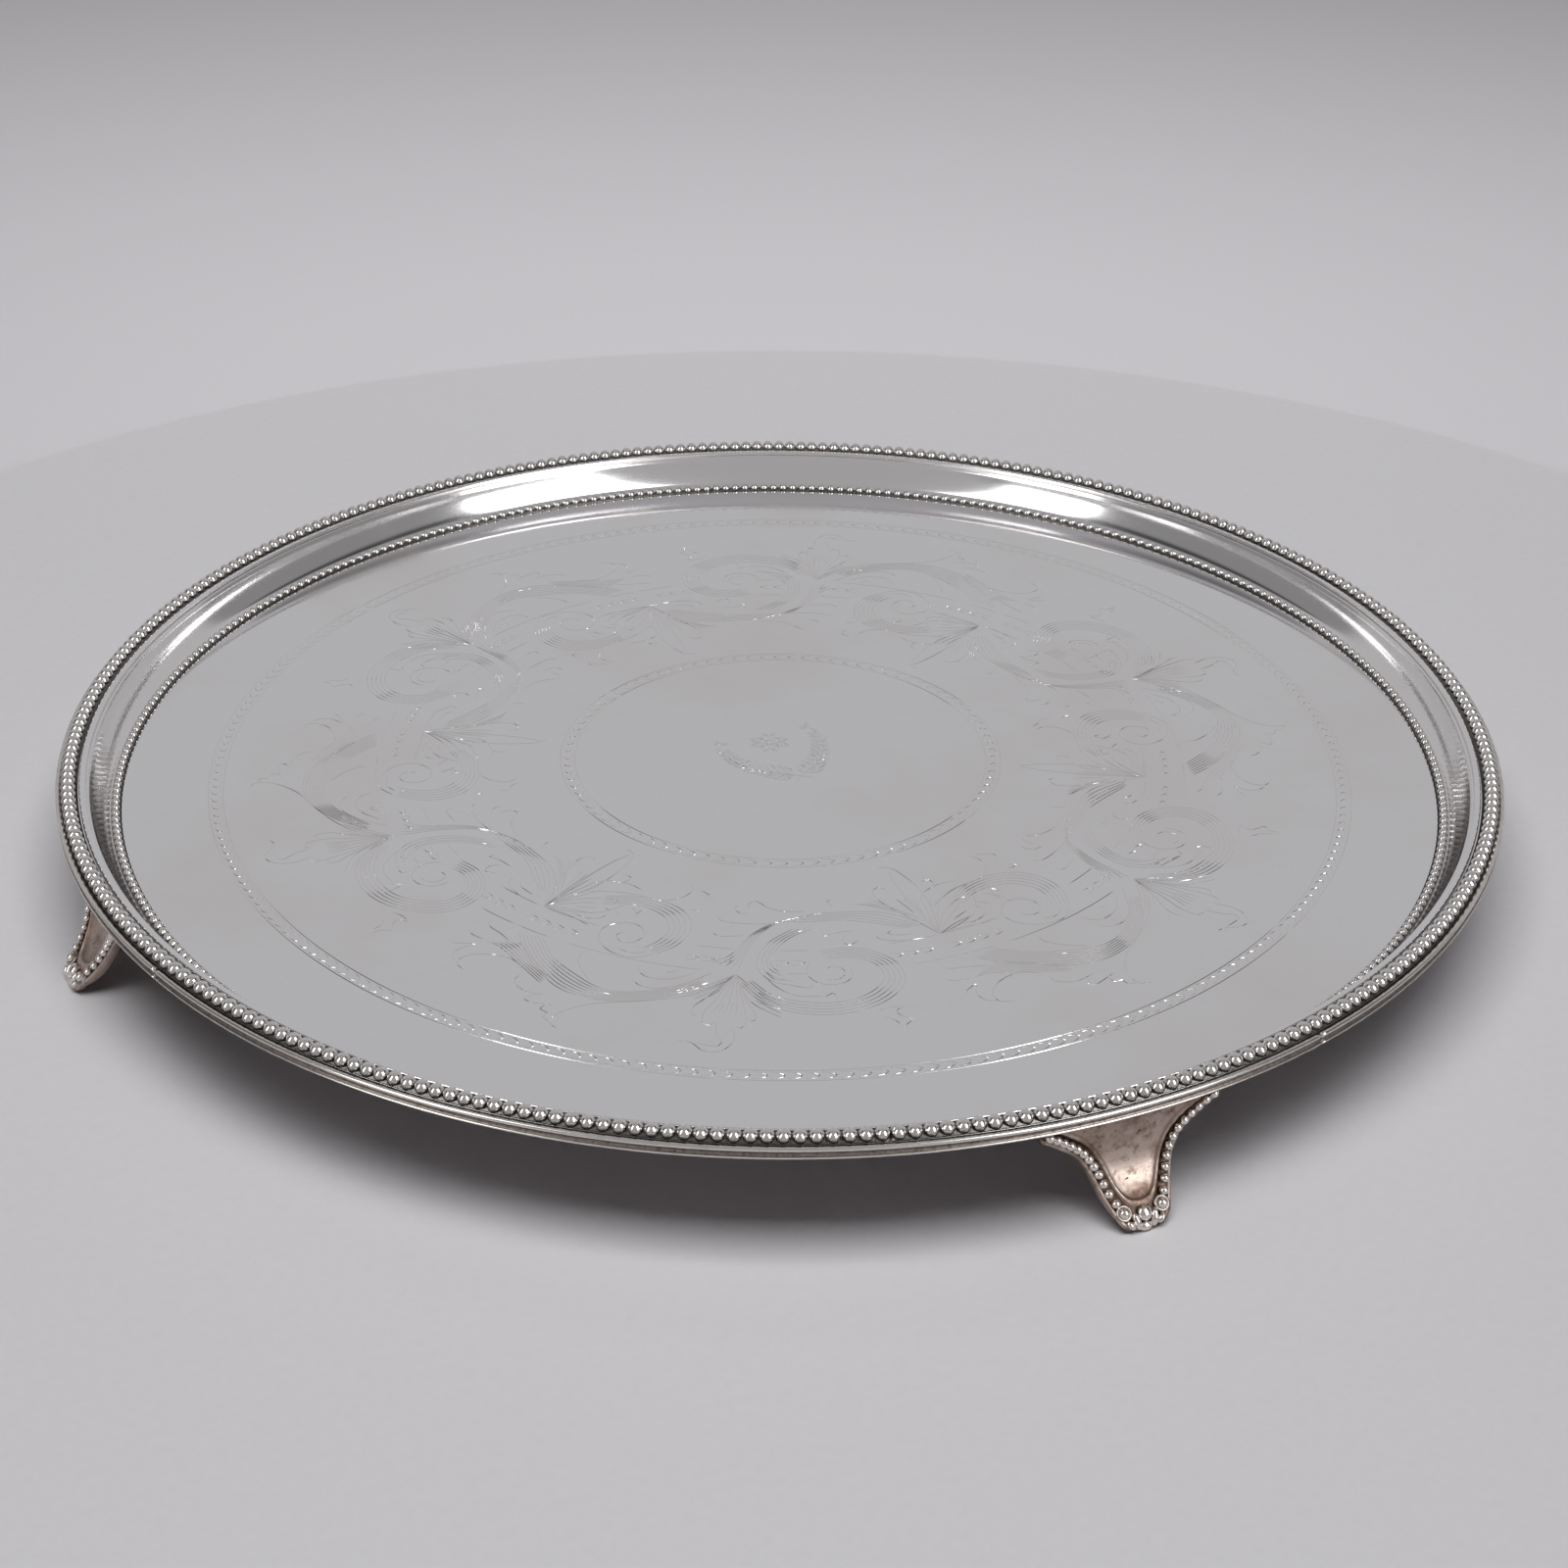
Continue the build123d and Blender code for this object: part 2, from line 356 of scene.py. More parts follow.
def stem():
    """The main stem, from the palmette's foot down to the next inner palmette."""
    near = [(-10, 580), (-14, 552), (-22, 510), (-41, 466), (-78, 436),
            (-125, 420), (-185, 413), (-245, 436)]
    far = [(24, 562), (2, 540), (-10, 508), (-24, 480), (-46, 456),
           (-85, 449), (-140, 438), (-225, 446)]
    lines = between(near, far, 5)
    lines += [
        [(-85, 424), (-55, 427), (-32, 420), (-14, 406), (-5, 416), (-8, 432)],
        [(-10, 441), (4, 438), (11, 428), (8, 417)],
        [(-60, 452), (-25, 462), (12, 463), (28, 458), (31, 447)],
        [(-12, 492), (4, 495), (22, 498), (31, 492), (31, 482)],
        [(-120, 412), (-108, 395), (-112, 388)],
        [(-255, 460), (-228, 474), (-197, 480), (-181, 474), (-181, 463)],
        [(-230, 458), (-205, 466), (-194, 462), (-200, 454)],
        [(-160, 484), (-146, 498), (-137, 486), (-141, 470)],
        [(-150, 462), (-128, 470), (-113, 480), (-112, 468)],
    ]
    lines += between([(-235, 422), (-200, 402), (-165, 384)],
                     [(-190, 408), (-165, 398), (-142, 398)], 4)
    return lines


def outer_scroll():
    """The scroll that turns outside the strap, with its eye at the left of the palmette."""
    eye = (-133, 564)
    outline = [(-15, 602), (-52, 645), (-103, 663), (-160, 655), (-205, 622),
               (-226, 575), (-213, 533), (-180, 508), (-142, 505), (-105, 520)]
    inside = [(-30, 595), (-62, 626), (-105, 637), (-152, 630), (-185, 604),
              (-199, 570), (-189, 542), (-165, 527), (-140, 528), (-122, 538)]
    lines = between(outline, inside, 5)
    lines += [
        spiral(eye, 38, 24, -38, 215),
        spiral(eye, 20, 12, 60, 330),
        [(-146, 640), (-144, 622), (-137, 612), (-130, 620), (-132, 629)],
        [(-128, 621), (-95, 624), (-70, 612), (-50, 590)],
        [(-109, 590), (-108, 603), (-92, 604), (-72, 598)],
        [(-72, 576), (-74, 590), (-60, 590), (-46, 574)],
        [(-240, 686), (-236, 670), (-242, 658), (-226, 651), (-221, 640), (-231, 631)],
        [(-231, 631), (-214, 634), (-196, 646)],
        [(-205, 656), (-222, 664), (-232, 680)],
    ]
    lines += between(
        [(-100, 603), (-60, 596), (-38, 572), (-33, 543), (-44, 503), (-72, 466)],
        [(-66, 575), (-53, 560), (-50, 545), (-54, 522), (-70, 489), (-98, 462)], 4)
    return lines


def acanthus():
    """The arch and the large leaf that sweep to the right of the palmette and over the strap."""
    lines = [
        [(18, 583), (50, 613), (85, 630), (110, 624), (121, 608)],
        [(40, 588), (70, 606), (100, 606), (114, 592), (115, 577)],
        [(62, 583), (75, 592), (81, 580)],
        [(0, 600), (42, 640), (100, 661), (158, 674), (196, 698), (206, 722),
         (194, 734)],
        [(206, 722), (216, 710), (213, 701), (223, 694), (215, 680)],
        [(205, 684), (240, 680), (247, 670), (232, 664)],
        [(220, 664), (247, 658), (262, 645), (267, 630), (262, 621)],
        [(170, 626), (188, 597), (195, 575), (192, 560)],
        [(262, 610), (280, 586), (310, 578), (336, 584), (349, 602), (334, 622)],
        [(349, 602), (357, 588), (352, 570), (334, 558), (354, 557), (365, 560)],
        [(325, 545), (345, 532), (348, 518)],
        [(288, 548), (306, 528), (324, 512), (328, 500)],
    ]
    lines += between([(20, 610), (65, 645), (120, 664), (170, 662), (214, 640), (248, 596),
                      (272, 553), (284, 520)],
                     [(30, 604), (75, 630), (125, 643), (160, 636), (194, 610), (226, 578),
                      (243, 546), (252, 526)], 7)
    lines += between([(230, 640), (262, 604), (300, 560), (322, 548)],
                     [(222, 622), (248, 590), (270, 556), (282, 545)], 6)
    return lines


def inner_scroll():
    """The smaller scroll whose eye lies across the strap, at the right of the palmette."""
    outline = [(98, 551), (73, 524), (62, 490), (69, 455), (96, 428), (140, 414),
               (190, 420)]
    inside = [(118, 540), (99, 518), (90, 490), (100, 461), (124, 442), (155, 434),
              (190, 440)]
    lines = between(outline, inside, 5)
    lines += [
        [(98, 551), (130, 563), (160, 550), (178, 523), (174, 494), (150, 481),
         (129, 487), (120, 508), (132, 527), (148, 527), (156, 512), (146, 503)],
        [(108, 545), (130, 552), (152, 542)],
        [(126, 463), (127, 447), (138, 456), (132, 472)],
        [(140, 471), (140, 452), (147, 443)],
        [(158, 470), (165, 455), (170, 446)],
        [(177, 465), (177, 452), (184, 446)],
        [(215, 409), (160, 407), (112, 420), (84, 409), (73, 389), (79, 373)],
        [(56, 412), (50, 398), (60, 390), (66, 374)],
        [(72, 436), (56, 440), (59, 428)],
        [(140, 398), (160, 384), (190, 380), (215, 390)],
    ]
    return lines


def inner_palmette():
    """Fan of leaves that points at the middle of the tray, where two scrolls meet."""
    foot = (-262, 455)
    lines = [
        [foot, (-262, 410), (-276, 372), (-288, 360), (-292, 372)],
        [foot, (-250, 405), (-232, 355), (-200, 312), (-180, 297), (-164, 302)],
        [foot, (-240, 414), (-212, 372), (-190, 328), (-180, 297)],
        [foot, (-224, 424), (-184, 392), (-165, 366), (-172, 350), (-184, 356)],
        [(-232, 355), (-246, 336), (-238, 322), (-226, 330)],
        [(-300, 425), (-318, 400), (-312, 382)],
        [foot, (-285, 430), (-305, 392), (-300, 350)],
    ]
    lines += between([foot, (-256, 410), (-254, 366)], [foot, (-228, 412), (-196, 374)], 6, 1)
    lines += between([foot, (-270, 415), (-282, 384)], [foot, (-296, 432), (-330, 416)], 5, 1)
    return lines


def wide_cuts():
    """Broad bright cuts, as (guide line, width in units of the thin line)."""
    return [
        ([(185, 624), (208, 604), (219, 582), (210, 560)], 6.0),
        ([(130, 664), (165, 660), (198, 645)], 3.0),
        ([(126, 648), (150, 646), (170, 634)], 3.0),
        ([(280, 590), (302, 580), (326, 580)], 2.6),
        ([(-118, 442), (-95, 454), (-78, 474)], 3.2),
        ([(-110, 424), (-85, 436), (-62, 454)], 3.0),
        ([(-175, 537), (-155, 530), (-132, 536)], 2.8),
        ([(-8, 470), (12, 474), (28, 490)], 3.4),
        ([(58, 598), (72, 594), (81, 582)], 3.4),
        ([(94, 600), (108, 592), (114, 580)], 3.4),
        ([(100, 533), (118, 540), (134, 536)], 3.0),
        ([(130, 488), (150, 479), (168, 488)], 2.6),
        ([(62, 676), (70, 676), (78, 674)], 3.4),
        ([(222, 672), (232, 671), (242, 675)], 3.4),
        ([(-58, 428), (-40, 425), (-22, 416)], 3.0),
        ([(85, 408), (104, 418), (124, 418)], 2.8),
        ([(-248, 428), (-215, 420), (-185, 415)], 2.4),
        ([(-176, 380), (-166, 384), (-156, 388)], 3.4),
    ]


def shading():
    """Short hatched strokes along the scrolls and under the leaf tips."""
    strokes = ticks([(-142, 641), (-110, 646), (-80, 640), (-58, 627)], 18, 6)
    strokes += ticks([(28, 607), (45, 621), (68, 633)], 9, 7)
    strokes += ticks([(136, 434), (165, 428), (200, 430)], 13, 6)
    strokes += ticks([(-200, 429), (-165, 430), (-128, 438)], 14, 6)
    strokes += ticks([(222, 660), (240, 657), (256, 648)], 8, 8, 0.6)
    strokes += ticks([(276, 576), (300, 566), (330, 566), (345, 576)], 15, 16, -0.8)
    strokes += ticks([(-150, 575), (-135, 586), (-116, 580)], 9, 12, 0.5)
    strokes += ticks([(196, 700), (203, 708), (208, 716)], 5, 12, 0.5)
    strokes += ticks([(140, 488), (150, 489), (160, 492)], 6, 10, 0.4)
    strokes += ticks([(330, 551), (342, 549), (354, 552)], 6, 8, 0.5)
    return strokes


def motif_strokes():
    """One motif as (points, width) strokes, in metres and in the motif's own frame."""
    strokes = []
    outlines = palmette() + stem() + outer_scroll() + acanthus() + inner_scroll() + inner_palmette()
    for line in outlines:
        strokes.append((smooth_line(line, STEP, RING_UNIT), LINE))
    for line in shading():
        strokes.append(([Vector(p) * RING_UNIT for p in line], FINE_LINE))
    for line, width in wide_cuts():
        strokes.append((smooth_line(line, STEP, RING_UNIT), LINE * width))
    return strokes


def leaf(foot, tip, fullness):
    """Outline and midrib of one leaf, between its foot and its tip."""
    foot = Vector(foot)
    tip = Vector(tip)
    along = tip - foot
    over = Vector((-along.y, along.x)) * fullness
    belly = foot + along * 0.45
    return [[foot, belly + over, tip], [foot, belly - over * 0.8, tip], [foot, foot + along * 0.85]]


# the right stalk and the heart of the flower, in millimetres from the middle of the tray
STALK = [(-4.0, -19.0), (2.0, -14.5), (9.5, -9.0), (15.0, -1.0), (17.0, 8.0), (16.0, 13.0)]
HEART = Vector((0.0, 8.5))
HEART_RADIUS = 1.5
PETALS = 8
BROAD_CUT = 3.2                  # width of the cut down a leaf, in thin lines


def centre_device():
    """Two crossed leafy sprays below an eight-petalled flower, as (points, width) in metres."""
    thin = []
    broad = []
    for side in (1, -1):
        stalk = [(side * x, y) for x, y in STALK]
        thin.append(stalk)
        places = smooth_line(stalk, 3.6)[2:]
        for index, place in enumerate(places):
            reach_out = 7.0 - 0.35 * index
            for lean in (1, -1):
                tip = place + radial(reach_out, 90 - side * (50 - 9 * index) + lean * 42).xy
                thin += leaf(place, tip, 0.22)
                broad.append([place.lerp(tip, 0.25), place.lerp(tip, 0.55), place.lerp(tip, 0.8)])
    heart_ring = []
    for petal in range(PETALS + 1):
        way = radial(1.0, 360 / PETALS * petal).xy
        heart_ring.append(HEART + way * HEART_RADIUS)
        if petal < PETALS:
            thin += leaf(HEART + way * 1.6, HEART + way * 7.0, 0.26)
            broad.append([HEART + way * 2.6, HEART + way * 4.2, HEART + way * 5.6])
    thin.append(heart_ring)
    strokes = []
    for lines, width in ((thin, LINE), (broad, LINE * BROAD_CUT)):
        for line in lines:
            strokes.append((smooth_line(line, 0.9 * MM, MM), width))
    return strokes


# ---------------- the engraved field

STRAP_LINES = (581, 526)
STRAP_DOTS = (564, 546)
STRAP_RUNGS = 28                 # in each sixth of the strap
# stretches of the strap, in degrees from a motif's middle, that no scroll covers
STRAP_OUTER_OPEN = ((-30.0, -23.5), (-10.5, -6.5), (3.0, 22.5), (24.5, 30.0))
STRAP_INNER_OPEN = ((-30.0, -21.5), (-11.0, -6.0), (-0.5, 6.0), (20.0, 30.0))
OUTER_BAND = (816, 795)
OUTER_RUNGS = 240
INNER_BAND = (318, 297)
INNER_RUNGS = 90
DOT = 0.45 * MM
DOT_DEPTH = 0.12 * MM
DOT_SIDES = 7
TAPER = 2.2 * MM
RUNG_INSET = 3.5
# one looped rung: how far it is from the inner to the outer circle, and its turn in rung spacings
RUNG_LOOP = ((0.0, -0.45), (0.15, 0.0), (0.5, 0.28), (0.85, 0.0), (1.0, -0.45))
RUNG_STEP = 0.8 * MM
SAMPLE_STEP = 0.25 * MM
POINT_WIDTH = 0.01 * MM          # a stroke narrower than this is a single point
MERGE = 1e-7
GROOVE_DULL = 0.8
GROOVE_DULL_MOST = 0.55
FIELD_EDGE = FIELD_RING - FIELD_BEAD_WIDTH / 2 - 1.0 * MM
FIELD_STEPS = 360


def ring_line(radius, start, end, step=1.2):
    """A stretch of circle about the tray's axis, as points in metres."""
    count = max(2, round(abs(end - start) / step))
    return [radial(radius * RING_UNIT, start + (end - start) * i / count).xy for i in range(count + 1)]


def rungs(band, total, first, count, strokes, dots):
    """Looped rungs between two circles, each with a dot at both ends."""
    pitch = 360.0 / total
    low = band[1] + RUNG_INSET
    high = band[0] - RUNG_INSET
    for index in range(count):
        angle = first + (index + 0.5) * pitch
        points = []
        for share, turn in RUNG_LOOP:
            points.append(radial((low + (high - low) * share) * RING_UNIT, angle + turn * pitch).xy)
        strokes.append((smooth_line(points, RUNG_STEP), FINE_LINE))
        dots.extend((points[0], points[-1]))


def engraving():
    """Every stroke of the field as (points, width), and every dot."""
    strokes = centre_device()
    dots = []
    motif = motif_strokes()
    for index in range(MOTIFS):
        middle = MOTIF_ANGLE + index * 360.0 / MOTIFS
        out = radial(1.0, middle).xy
        side = Vector((out.y, -out.x))
        for points, width in motif:
            strokes.append(([side * p.x + out * p.y for p in points], width))
        for radius, stretches in zip(STRAP_LINES, (STRAP_OUTER_OPEN, STRAP_INNER_OPEN)):
            for start, end in stretches:
                strokes.append((ring_line(radius, middle - start, middle - end), LINE))
        pitch = 360.0 / (MOTIFS * STRAP_RUNGS)
        for start, end in STRAP_INNER_OPEN:
            count = int((end - start) / pitch)
            rungs(STRAP_DOTS, MOTIFS * STRAP_RUNGS, middle - end, count, strokes, dots)
    for band, total in ((OUTER_BAND, OUTER_RUNGS), (INNER_BAND, INNER_RUNGS)):
        rungs(band, total, 0.0, total, strokes, dots)
        for radius in band:
            for start in range(0, 360, 60):
                strokes.append((ring_line(radius, start, start + 60), FINE_LINE))
    return strokes, dots


def groove_shape(points, width):
    """Half widths and depths along one stroke, which comes to a point at both ends."""
    lengths = running_lengths(points)
    total = lengths[-1]
    taper = min(TAPER, total / 2)
    depth = LINE_DEPTH * min(1.0, LINE / width)
    shares = [max(0.0, min(1.0, place / taper, (total - place) / taper)) ** 0.6 for place in lengths]
    return [share * width / 2 for share in shares], [share * depth for share in shares]


def groove_outline(points, halves, first):
    """Vertices of a V groove seen from above, and the edges that keep them in the mesh."""
    rows = []
    vertices = []
    for index, (point, half) in enumerate(zip(points, halves)):
        before = points[max(0, index - 1)]
        after = points[min(len(points) - 1, index + 1)]
        along = (after - before).normalized()
        over = Vector((-along.y, along.x)) * half
        row = [point] if half < POINT_WIDTH else [point - over, point, point + over]
        rows.append([first + len(vertices) + offset for offset in range(len(row))])
        vertices.extend(row)
    edges = []
    for row, following in zip(rows, rows[1:]):
        count = max(len(row), len(following))
        for index in range(count):
            edges.append((row[min(index, len(row) - 1)], following[min(index, len(following) - 1)]))
    return vertices, edges


def field_mesh():
    """Flat top of the plate with its engraving cut in, as vertices, triangles and tarnish values."""
    strokes, dots = engraving()
    vertices = [radial(FIELD_EDGE, 360.0 * i / FIELD_STEPS).xy for i in range(FIELD_STEPS)]
    edges = [(i, (i + 1) % FIELD_STEPS) for i in range(FIELD_STEPS)]
    samples = []
    for points, width in strokes:
        halves, depths = groove_shape(points, width)
        new_vertices, new_edges = groove_outline(points, halves, len(vertices))
        vertices.extend(new_vertices)
        edges.extend(new_edges)
        for index in range(len(points) - 1):
            count = max(1, round((points[index + 1] - points[index]).length / SAMPLE_STEP))
            for step in range(count):
                share = step / count
                samples.append((
                    points[index].lerp(points[index + 1], share),
                    halves[index] + (halves[index + 1] - halves[index]) * share,
                    depths[index] + (depths[index + 1] - depths[index]) * share,
                ))
    for dot in dots:
        first = len(vertices)
        vertices.append(dot)
        for side in range(DOT_SIDES):
            vertices.append(dot + radial(DOT, 360.0 * side / DOT_SIDES).xy)
            edges.append((first + 1 + side, first + 1 + (side + 1) % DOT_SIDES))
        samples.append((dot, DOT, DOT_DEPTH))
    flat, _, triangles, _, _, _ = geometry.delaunay_2d_cdt(vertices, edges, [], 0, MERGE)
    tree = kdtree.KDTree(len(samples))
    for index, (place, _, _) in enumerate(samples):
        tree.insert((place.x, place.y, 0.0), index)
    tree.balance()
    widest = max(half for _, half, _ in samples)
    placed = []
    tarnish_and_shade = []
    for point in flat:
        depth = 0.0
        for _, index, distance in tree.find_range((point.x, point.y, 0.0), widest):
            half = samples[index][1]
            if distance < half:
                depth = max(depth, samples[index][2] * (1.0 - distance / half))
        placed.append(Vector((point.x, point.y, FIELD_TOP - depth)))
        tarnish_and_shade.append(min(GROOVE_DULL_MOST, depth / LINE_DEPTH * GROOVE_DULL))
    return placed, triangles, tarnish_and_shade


# ---------------- plate

FIELD_RIM = 209.5 * MM
CHANNEL_END = 212.8 * MM
COVE_FOOT = 213.1 * MM
COVE_HEAD = 218.4 * MM
COVE_STEP = 0.5 * MM
BACK_STEP = 1.0 * MM
UNDERSIDE_RINGS = (205, 160, 110, 60, 20)


def plate_profile():
    """The plate from the edge of the field outwards and back underneath, as (radius, z)."""
    under = SEAT_TOP - (FIELD_TOP - PLATE_BOTTOM)
    cove = [(COVE_FOOT, CHANNEL)]
    cove += section_points(COVE_FOOT, FIELD_TOP, [(1.6, 0.9), (3.15, 3.3), (4.4, 6.3)])
    cove += section_points(COVE_HEAD, SEAT_TOP, [(0.0, -1.0)])
    back = section_points(COVE_HEAD, under, [(1.4, -0.6)])
    back += section_points(COVE_HEAD, FIELD_TOP, [(0.9, 5.6)])
    back += section_points(COVE_FOOT, FIELD_TOP, [(5.4, 2.3), (3.2, -0.5)])
    back += section_points(COVE_FOOT, PLATE_BOTTOM, [(0.5, 0.0)])
    profile = section_points(FIELD_RIM, FIELD_TOP, [(-0.15, 0.0), (0.0, -0.08)])
    profile += [(FIELD_RIM, CHANNEL), (CHANNEL_END, CHANNEL)]
    profile += [tuple(point) for point in smooth_line(cove, COVE_STEP)]
    profile += section_points(COVE_HEAD, SEAT_TOP, [(0.12, -0.9), (0.15, -0.15), (0.3, 0.0)])
    profile += [(PLATE_RADIUS, SEAT_TOP), (PLATE_RADIUS, under), (COVE_HEAD + 1.8 * MM, under)]
    profile += [tuple(point) for point in smooth_line(back, BACK_STEP)]
    profile += [(radius * MM, PLATE_BOTTOM) for radius in UNDERSIDE_RINGS]
    return profile


def plate_tarnish_and_shade(radius, z):
    """Painted shade underneath the plate, in the bead channel and at the flange under the beads and the
    moulding, and a little tarnish in the cove.
    """
    # painted shade: the underside is darkened fully
    if z < PLATE_BOTTOM + 0.1 * MM:
        return 1.0
    if abs(z - CHANNEL) < 0.2 * MM or radius > 221 * MM:
        return 0.7
    return 0.22 if z > FIELD_TOP + 0.1 * MM else 0.0


def salver_plate():
    """Engraved field, cove and flange as one sheet of metal."""
    vertices, faces, tarnish_and_shade = field_mesh()
    ring = [index for index, point in enumerate(vertices) if point.xy.length > FIELD_EDGE - 0.001 * MM]
    ring.sort(key=lambda index: math.atan2(vertices[index].y, vertices[index].x) % math.tau)
    steps = len(ring)
    flat_count = len(faces)
    for radius, z in plate_profile():
        following = range(len(vertices), len(vertices) + steps)
        vertices.extend(radial(radius, 360.0 * i / steps, z) for i in range(steps))
        tarnish_and_shade.extend([plate_tarnish_and_shade(radius, z)] * steps)
        for i in range(steps):
            faces.append((ring[i], following[i], following[(i + 1) % steps], ring[(i + 1) % steps]))
        ring = list(following)
    faces.append(tuple(reversed(ring)))
    plate = make_object("salver_plate_engraved", vertices, faces, PLATE_SILVER, True, tarnish_and_shade)
    smooth = [False] * flat_count + [True] * (len(plate.data.polygons) - flat_count)
    plate.data.polygons.foreach_set("use_smooth", smooth)
    return plate


# ---------------- mouldings

EDGE_WIDTH = 2.15 * MM
LIP = 0.36 * MM
REED_WIDTH = 0.82 * MM
REED_HEIGHT = 0.72 * MM
REED_IN = 0.92 * MM
HOLLOW = [(-0.62, 0.78), (-0.72, 1.05), (-0.74, 1.45), (-0.70, 1.75)]
EDGE_STEPS = 180


def edge_section():
    """Outer moulding: a flared lip below, a hollow band, and a reed along the top."""
    inner = EDGE_RADIUS - EDGE_WIDTH
    lip = arc((EDGE_RADIUS - LIP, EDGE_BOTTOM + LIP), LIP, LIP, -90, 80, 6)
    hollow = section_points(EDGE_RADIUS, EDGE_BOTTOM, HOLLOW)
    reed = arc((EDGE_RADIUS - REED_IN, EDGE_TOP - REED_HEIGHT), REED_WIDTH, REED_HEIGHT, -35, 105, 9)
    ledge = section_points(inner, EDGE_TOP, [(0.5, -0.35), (0.0, -0.3)])
    return [(inner, EDGE_BOTTOM)] + lip + hollow + reed + ledge


def section_darkening(section, columns, value):
    """The tarnish and painted shade values of a section, repeated for each column of a lathe mesh."""
    return [value(radius, z) for radius, z in section] * columns


def edge_darkening(radius, z):
    """Dark in the hollow band, painted shade on the ledge beside the beads, bright on the lip and the reed.
    """
    # painted shade on the ledge beside the beads
    if radius < EDGE_RADIUS - 1.3 * MM:
        return 0.9
    return 1.0 if EDGE_BOTTOM + 0.7 * MM < z < EDGE_BOTTOM + 1.8 * MM else 0.1


def edge_moulding(number):
    """One length of the outer moulding, with a hairline gap at each end."""
    section = edge_section()
    start = EDGE_JOIN + (number - 1) * QUARTER + EDGE_GAP
    vertices, faces = lathe_mesh(section, start, QUARTER - 2 * EDGE_GAP, EDGE_STEPS)
    darkening = section_darkening(section, EDGE_STEPS + 1, edge_darkening)
    return make_object(f"edge_moulding_{number}_reeded", vertices, faces, MOULDING_SILVER, True, darkening)


FILLET_STEPS = 720
FILLET_SIDES = [(-2.1, 0.0), (0.0, 0.0), (0.0, 0.6), (-0.1, 0.95)]
FILLET_CROWN = [(-0.35, 0.0), (-0.7, -0.02), (-1.15, -0.05), (-1.5, -0.02), (-1.8, 0.0), (-2.02, -0.22),
                (-2.1, -0.55)]


def fillet_painted_shade(radius, z):
    """Painted shade darkens the sides of the fillet; its top is left bright."""
    return 0.9 if z < FILLET_TOP - 0.4 * MM else 0.0


def fillet_moulding():
    """Flat-topped fillet with softened edges, and a faint hollow down its middle."""
    section = section_points(FILLET_OUTER, SEAT_TOP, FILLET_SIDES)
    section += section_points(FILLET_OUTER, FILLET_TOP, FILLET_CROWN)
    vertices, faces = lathe_mesh(section, 0.0, 360.0, FILLET_STEPS)
    darkening = section_darkening(section, FILLET_STEPS, fillet_painted_shade)
    return make_object("fillet_moulding_hollowed", vertices, faces, PLATE_SILVER, True, darkening)


# ---------------- beads

def bead(centre, section, frame_axes, sides, tilt):
    """A bead turned about its own axis, from a section of (radius, height, painted shade value) from its
    crown down.
    """
    across, along, up = frame_axes
    vertices = [centre + up * section[0][1]]
    tarnish_and_shade = [section[0][2]]
    for radius, height, value in section[1:]:
        lean = tilt * height
        for side in range(sides):
            turn = math.tau * side / sides
            vertices.append(centre + across * radius * math.cos(turn) + along * radius * math.sin(turn)
                            + up * height + lean)
            tarnish_and_shade.append(value)
    faces = [(0, 1 + side, 1 + (side + 1) % sides) for side in range(sides)]
    for row in range(len(section) - 2):
        faces += ring_faces(1 + row * sides, 1 + (row + 1) * sides, sides)
    last = 1 + (len(section) - 2) * sides
    faces.append(tuple(last + side for side in reversed(range(sides))))
    return vertices, faces, tarnish_and_shade


def ball_section(radius, lowest, rows, shade_from):
    """Section of a ball cut off below, with painted shade that darkens it from a height given as a share of
    its radius.
    """
    section = []
    for row in range(rows + 1):
        turn = math.radians(90 + (lowest - 90) * row / rows)
        height = radius * math.sin(turn)
        # painted shade on the lower part of the ball
        value = max(0.0, min(1.0, (shade_from - height / radius) / 0.6))
        section.append((radius * math.cos(turn), height, value))
    return section


RING_STEPS = 24
RING_SIDES = 8
RING_TARNISH = 0.75


def ring_bead(centre, frame_axes, major, minor):
    """A round ring that lies flat on the face below a bead."""
    side, up, out = frame_axes
    vertices = []
    faces = []
    for step in range(RING_STEPS):
        turn = math.tau * step / RING_STEPS
        way = side * math.cos(turn) + up * math.sin(turn)
        for row in range(RING_SIDES):
            roll = math.tau * row / RING_SIDES
            vertices.append(centre + way * (major + minor * math.cos(roll)) + out * minor * math.sin(roll))
        faces += ring_faces(step * RING_SIDES, (step + 1) % RING_STEPS * RING_SIDES, RING_SIDES)
    return vertices, faces, [RING_TARNISH] * len(vertices)


class Shell:
    """Gathers separate closed shells that make one piece."""

    def __init__(self):
        self.vertices = []
        self.faces = []
        self.tarnish_and_shade = []

    def add(self, vertices, faces, tarnish_and_shade):
        first = len(self.vertices)
        self.vertices.extend(vertices)
        self.faces.extend(tuple(first + index for index in face) for face in faces)
        self.tarnish_and_shade.extend(tarnish_and_shade)

    def build(self, name, material):
        return make_object(name, self.vertices, self.faces, material, True, self.tarnish_and_shade)


def wire_axes(angle, across, along):
    """Axes of a bead on a ring: outwards, along the ring and up, scaled to the bead's shape."""
    out = radial(1.0, angle)
    return out * across, Vector((-out.y, out.x, 0.0)) * along, Vector((0.0, 0.0, 1.0))


